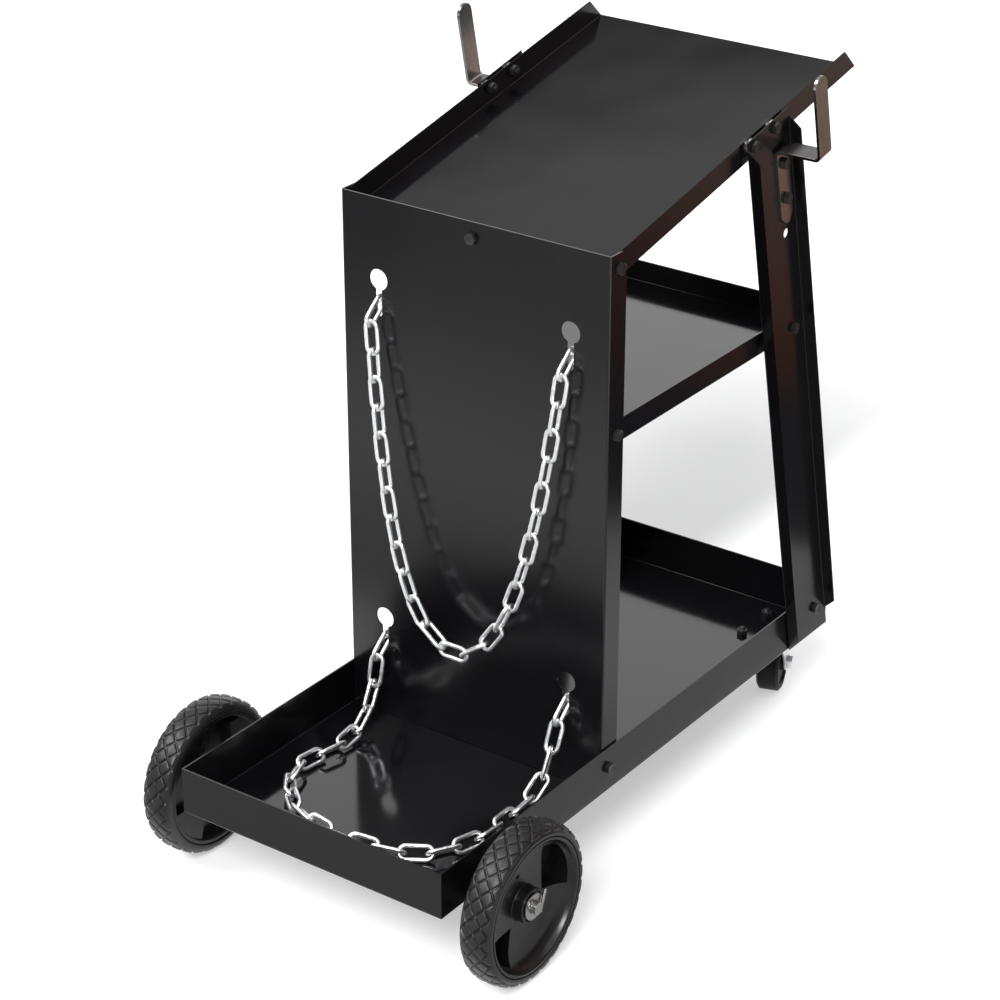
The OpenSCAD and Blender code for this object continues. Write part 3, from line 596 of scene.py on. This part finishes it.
def make_bolts(name, node):
    m = Mesh()
    for co in islands(node):
        M, length, corner, far, sgn, k, start = axis_frame(co, True)
        head = (far.max() - far.min()) / MM
        z0 = length - head               # the head's bearing face
        af = corner * math.cos(math.pi / 6)
        n = 48

        def hexr(a, af=af):
            return af / math.cos((a % (math.pi / 3)) - math.pi / 6)

        def top(a, af=af, length=length):
            return length - max(0.0, hexr(a) - af * 0.955) * 0.62

        rs = [m.ring(circle(M, af * 0.93, z0, n)), m.ring(circle(M, af * 0.95, z0 + 0.25, n)),
              m.ring(circle(M, 0, z0 + 0.3, n, hexr)), m.ring(circle(M, 0, top, n, hexr)),
              m.ring(circle(M, af * 0.93, length, n)), m.ring(circle(M, af * 0.80, length - 0.12, n)),
              m.ring(circle(M, af * 0.72, length - 0.22, n))]
        for a, b in zip(rs, rs[1:]):
            m.loft(a, b)
        c = M @ Vector((0, 0, length - 0.25))
        m.fan(rs[-1], (c.x * MM, c.y * MM, c.z * MM))
        # shank, with a rolled thread on the end that stands out of the nut
        r0, nn = 2.95, 24
        prev = m.ring(circle(M, r0, z0, nn))
        c = M @ Vector((0, 0, z0 + 0.1))
        m.fan(prev, (c.x * MM, c.y * MM, c.z * MM))
        th_top = min(6.6, z0 - 1.0)
        ring = m.ring(circle(M, r0, th_top + 0.6, nn))
        m.loft(prev, ring)
        prev = ring
        z = th_top
        while z > 0.7:
            for dz, dr in ((0.0, 0.0), (0.42, 0.42), (0.58, 0.42)):
                zz = z - dz
                if zz < 0.7:
                    break
                ring = m.ring(circle(M, r0 - dr, zz, nn))
                m.loft(prev, ring)
                prev = ring
            z -= 1.0
        for rr, zz in ((r0 - 0.3, 0.5), (r0 - 0.75, 0.06), (r0 - 1.1, 0.0)):
            ring = m.ring(circle(M, rr, zz, nn))
            m.loft(prev, ring)
            prev = ring
        c = M @ Vector((0, 0, 0))
        m.fan(prev, (c.x * MM, c.y * MM, c.z * MM))
        # the underside of the head, between the shank and the washer face
        under = rs[0]
        inner = m.ring(circle(M, r0 + 0.02, z0, n))
        m.loft(inner, under)
        cc = M @ Vector((0, 0, z0 + 0.3))
        m.fan(inner, (cc.x * MM, cc.y * MM, cc.z * MM))
    return piece(name, node, m.v, m.f, 28.0)


def make_nuts(name, node):
    m = Mesh()
    for co in islands(node):
        M, length, corner, far, sgn, k, start = axis_frame(co, False)
        af = corner * math.cos(math.pi / 6)
        n = 48

        def hexr(a, af=af):
            return af / math.cos((a % (math.pi / 3)) - math.pi / 6)

        def low(a, af=af):
            return max(0.0, hexr(a) - af * 0.955) * 0.6

        def top(a, length=length):
            return length - low(a)

        rs = [m.ring(circle(M, 3.05, 0.5, n)), m.ring(circle(M, 3.45, 0.0, n)), m.ring(circle(M, af * 0.94, 0.0, n)),
              m.ring(circle(M, 0, low, n, hexr)), m.ring(circle(M, 0, top, n, hexr)),
              m.ring(circle(M, af * 0.94, length, n)), m.ring(circle(M, 3.45, length, n)), m.ring(circle(M, 3.05, length - 0.5, n))]
        for a, b in zip(rs, rs[1:] + rs[:1]):
            m.loft(a, b)
    return piece(name, node, m.v, m.f, 28.0)


for nd in ("panel_bolts", "post_bolts", "hook_bolts", "caster_bolts"):
    make_bolts(nd.replace("_", "_hex_"), nd)
for nd in ("panel_nuts", "post_nuts", "hook_nuts", "caster_nuts"):
    make_nuts(nd.replace("_", "_hex_"), nd)


# ------------------------------------------------------------------ split pins
def make_pins(name, node):
    m = Mesh()
    lo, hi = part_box("axle")
    cy, cz = (lo.y + hi.y) / 2, (lo.z + hi.z) / 2
    d0 = math.radians(-40)               # direction of the stem, from +Y towards +Z
    for out in (-1.0, 1.0):
        x0 = (hi.x if out > 0 else lo.x) - out * 2.7 * MM

        def at(px, p):
            return (x0 + px * MM, cy + p.x * MM, cz + p.y * MM)

        # two half-round legs with a hairline gap: one bends up along the hub, one is short
        for sg, turn, leg, rad in ((1, 107, 19.1, 1.6), (-1, -25, 3.2, 2.0)):
            t0 = Vector((math.cos(d0), math.sin(d0)))
            d1 = d0 + math.radians(turn)
            cut = rad * math.tan(abs(math.radians(turn)) / 2)
            n0 = Vector((-t0.y, t0.x)) * sg
            path = [(t0 * v, t0, 1.0) for v in (-9.4, -6.0, 0.0, 8.4 - cut)]
            c = t0 * (8.4 - cut) + n0 * rad
            for k in range(1, 9):
                a = d0 + math.radians(turn) * k / 8
                td = Vector((math.cos(a), math.sin(a)))
                path.append((c - Vector((-td.y, td.x)) * sg * rad, td, 1.0))
            t1 = Vector((math.cos(d1), math.sin(d1)))
            end = t0 * 8.4 + t1 * leg
            path += [(end - t1 * v, t1, s) for v, s in ((1.0, 1.0), (0.45, 0.88), (0.12, 0.62), (0.0, 0.3)) if leg - v > cut + 0.1]
            prev = None
            for p, td, s in path:
                nn = Vector((-td.y, td.x)) * sg
                pts = []
                for j in range(13):
                    a = math.pi * j / 12
                    pts.append(at(1.45 * s * math.cos(a), p + nn * (0.06 + 1.36 * s * math.sin(a))))
                ring = m.ring(pts)
                if prev is None:
                    m.cap(ring)
                else:
                    m.loft(prev, ring)
                prev = ring
            m.cap(prev)
        # the eye, a flattened loop
        c = Vector((math.cos(d0), math.sin(d0))) * -11.5
        rings = []
        for k in range(28):
            a = 2 * math.pi * k / 28
            o = Vector((math.cos(a), math.sin(a)))
            rings.append(m.ring([at(1.25 * math.sin(2 * math.pi * j / 12), c + o * (2.6 + 1.25 * math.cos(2 * math.pi * j / 12))) for j in range(12)]))
        for k in range(28):
            m.loft(rings[k], rings[(k + 1) % 28])
    return piece(name, node, m.v, m.f, 40.0)


make_pins("split_pins", "cotter_pins")


# ------------------------------------------------------------------ stage: floor, cards, light
def stage_plane(name, corners, mat):
    me = bpy.data.meshes.new(name)
    me.from_pydata(corners, [], [tuple(range(len(corners)))])
    ob = bpy.data.objects.new(name, me)
    scene.collection.objects.link(ob)
    me.materials.append(mat)
    return ob


def floor_mat():
    k = Mat("studio_floor")
    k.set(Base_Color=k.mix(k.rng(k.noise(3.0, 3.0), 0.3, 0.7, 0.0, 1.0), (0.60, 0.60, 0.60), (0.62, 0.62, 0.62)))
    k.set(Roughness=0.9, Specular_IOR_Level=0.1)
    # painted light: the floor glows evenly, except in a soft rectangle behind the cart where the glow fades out to
    # leave a painted shadow
    sp = k.add("ShaderNodeSeparateXYZ")
    k.link(k.tc.outputs["Object"], sp.inputs[0])
    x, y = sp.outputs[0], sp.outputs[1]
    across = k.math("MULTIPLY", k.rng(x, -0.62, -0.46, 0.0, 1.0, True), k.rng(x, -0.15, -0.06, 1.0, 0.0, True))
    along = k.math("MULTIPLY", k.rng(y, 0.28, 0.48, 0.0, 1.0, True), k.rng(y, 0.95, 1.35, 1.0, 0.0, True))
    # painted light and painted shadow: the glow strength, cut back inside the rectangle behind the cart
    k.set(Emission_Color=(1.0, 1.0, 1.0, 1.0), Emission_Strength=k.rng(k.math("MULTIPLY", across, along), 0.0, 1.0, 0.45, 0.0))
    return k.m


stage_plane("floor", [(-14, -14, 0), (14, -14, 0), (14, 14, 0), (-14, 14, 0)], floor_mat())


def card_mat(name, axis, lo, hi, stops, side=None):
    """Glow of a card beside the stage: stops along one axis, and a fall-off along x."""
    k = Mat(name, "ShaderNodeEmission")
    sp = k.add("ShaderNodeSeparateXYZ")
    k.link(k.tc.outputs["Object"], sp.inputs[0])
    rp = k.add("ShaderNodeValToRGB")
    k.link(k.rng(sp.outputs[axis], lo, hi, 0.0, 1.0), rp.inputs[0])
    el = rp.color_ramp.elements
    while len(el) > 1:
        el.remove(el[-1])
    for i, (p, c) in enumerate(stops):
        e = el[0] if i == 0 else el.new((p - lo) / (hi - lo))
        e.position = (p - lo) / (hi - lo)
        e.color = (*c, 1.0)
    k.set(Color=rp.outputs[0])
    if side:
        k.set(Strength=k.rng(sp.outputs[0], *side, True))
    return k.m


def only_reflected(ob):
    ob.visible_camera = False
    ob.visible_diffuse = False
    ob.visible_shadow = False
    ob.visible_transmission = False
    ob.visible_volume_scatter = False


def grey(v):
    return (v, v, v)


# painted reflections: glowing cards, seen only in reflections, put a dim brown side, a lit wall behind, and the floor's
# tone in front into what the panels mirror
only_reflected(stage_plane("right_card", [(0.10, 0.674, 0.0), (2.6, -0.29, 0.0), (2.6, -0.29, 2.2), (0.10, 0.674, 2.2)],
                           card_mat("right_card", 2, 0.0, 1.0, [(0.0, (0.07, 0.07, 0.075)), (0.17, (0.07, 0.07, 0.075)), (0.25, (0.28, 0.10, 0.067)),
                                                                (0.5, (0.45, 0.30, 0.24)), (0.8, (0.6, 0.5, 0.45))],
                                    (0.39, 0.55, 1.0, 0.45))))
only_reflected(stage_plane("back_card", [(-3.61, -0.02, 0.0), (1.37, 3.34, 0.0), (1.37, 3.34, 1.7), (-3.61, -0.02, 1.7)],
                           card_mat("back_card", 2, 0.0, 1.7, [(0.0, grey(1.42)), (0.8, grey(1.52)), (1.66, grey(1.5)), (1.7, grey(1.0))])))
only_reflected(stage_plane("front_card", [(-1.7, -1.7, 0.002), (0.75, -1.7, 0.002), (0.75, -0.36, 0.002), (-1.7, -0.36, 0.002)],
                           card_mat("front_card", 1, -1.4, -0.3, [(-1.4, grey(0.36)), (-1.2, grey(0.42)), (-1.05, grey(0.5)), (-0.9, grey(0.8)), (-0.78, grey(1.05)),
                                                                  (-0.68, grey(1.05)), (-0.6, grey(0.85)), (-0.52, grey(0.58)), (-0.3, grey(0.54))],
                                    (-1.14, -0.84, 0.03, 1.0))))
only_reflected(stage_plane("side_card", [(0.205, -0.7, 0.002), (1.2, -0.7, 0.002), (1.2, 0.6, 0.002), (0.205, 0.6, 0.002)],
                           card_mat("side_card", 0, 0.2, 1.0, [(0.2, grey(0.52)), (0.28, grey(0.60)), (0.34, grey(0.86)), (0.42, grey(0.90)), (0.55, grey(0.66)), (0.9, grey(0.6))])))

world = bpy.data.worlds.new("studio")
scene.world = world
world.use_nodes = True
wt = world.node_tree
wt.nodes.clear()
wo = wt.nodes.new("ShaderNodeOutputWorld")
bg = wt.nodes.new("ShaderNodeBackground")
wc = wt.nodes.new("ShaderNodeTexCoord")
ws = wt.nodes.new("ShaderNodeSeparateXYZ")
wt.links.new(wc.outputs["Generated"], ws.inputs[0])


def wmath(op, a, b=0.0):
    n = wt.nodes.new("ShaderNodeMath")
    n.operation = op
    for s, v in zip(n.inputs, (a, b)):
        if isinstance(v, bpy.types.NodeSocket):
            wt.links.new(v, s)
        else:
            s.default_value = v
    return n.outputs[0]


def wrange(v, a, b, c, d):
    n = wt.nodes.new("ShaderNodeMapRange")
    n.interpolation_type = "SMOOTHSTEP"
    wt.links.new(v, n.inputs[0])
    for i, x in enumerate((a, b, c, d)):
        n.inputs[i + 1].default_value = x
    return n.outputs[0]


# a ring of dimmer sky half way up, brighter overhead
low_band = wrange(ws.outputs[2], 0.30, 0.52, 0.25, 0.0)
step = wrange(ws.outputs[2], 0.604, 0.618, 0.0, 0.54)
high_band = wrange(ws.outputs[2], 0.65, 0.95, 0.0, 0.62)
level = wmath("ADD", wmath("ADD", wmath("ADD", low_band, high_band), step), 0.17)
wt.links.new(level, bg.inputs["Strength"])
bg.inputs["Color"].default_value = (0.985, 0.99, 1.0, 1)
wt.links.new(bg.outputs[0], wo.inputs[0])


def soft_sun(name, toward, energy, angle):
    data = bpy.data.lights.new(name, "SUN")
    data.energy = energy
    data.angle = math.radians(angle)
    ob = bpy.data.objects.new(name, data)
    ob.matrix_world = Vector(toward).to_track_quat("Z", "Y").to_matrix().to_4x4()
    scene.collection.objects.link(ob)


soft_sun("key", (0.27, -0.67, 0.69), 2.6, 20)
soft_sun("fill", (-0.52, -0.42, 0.71), 1.8, 30)
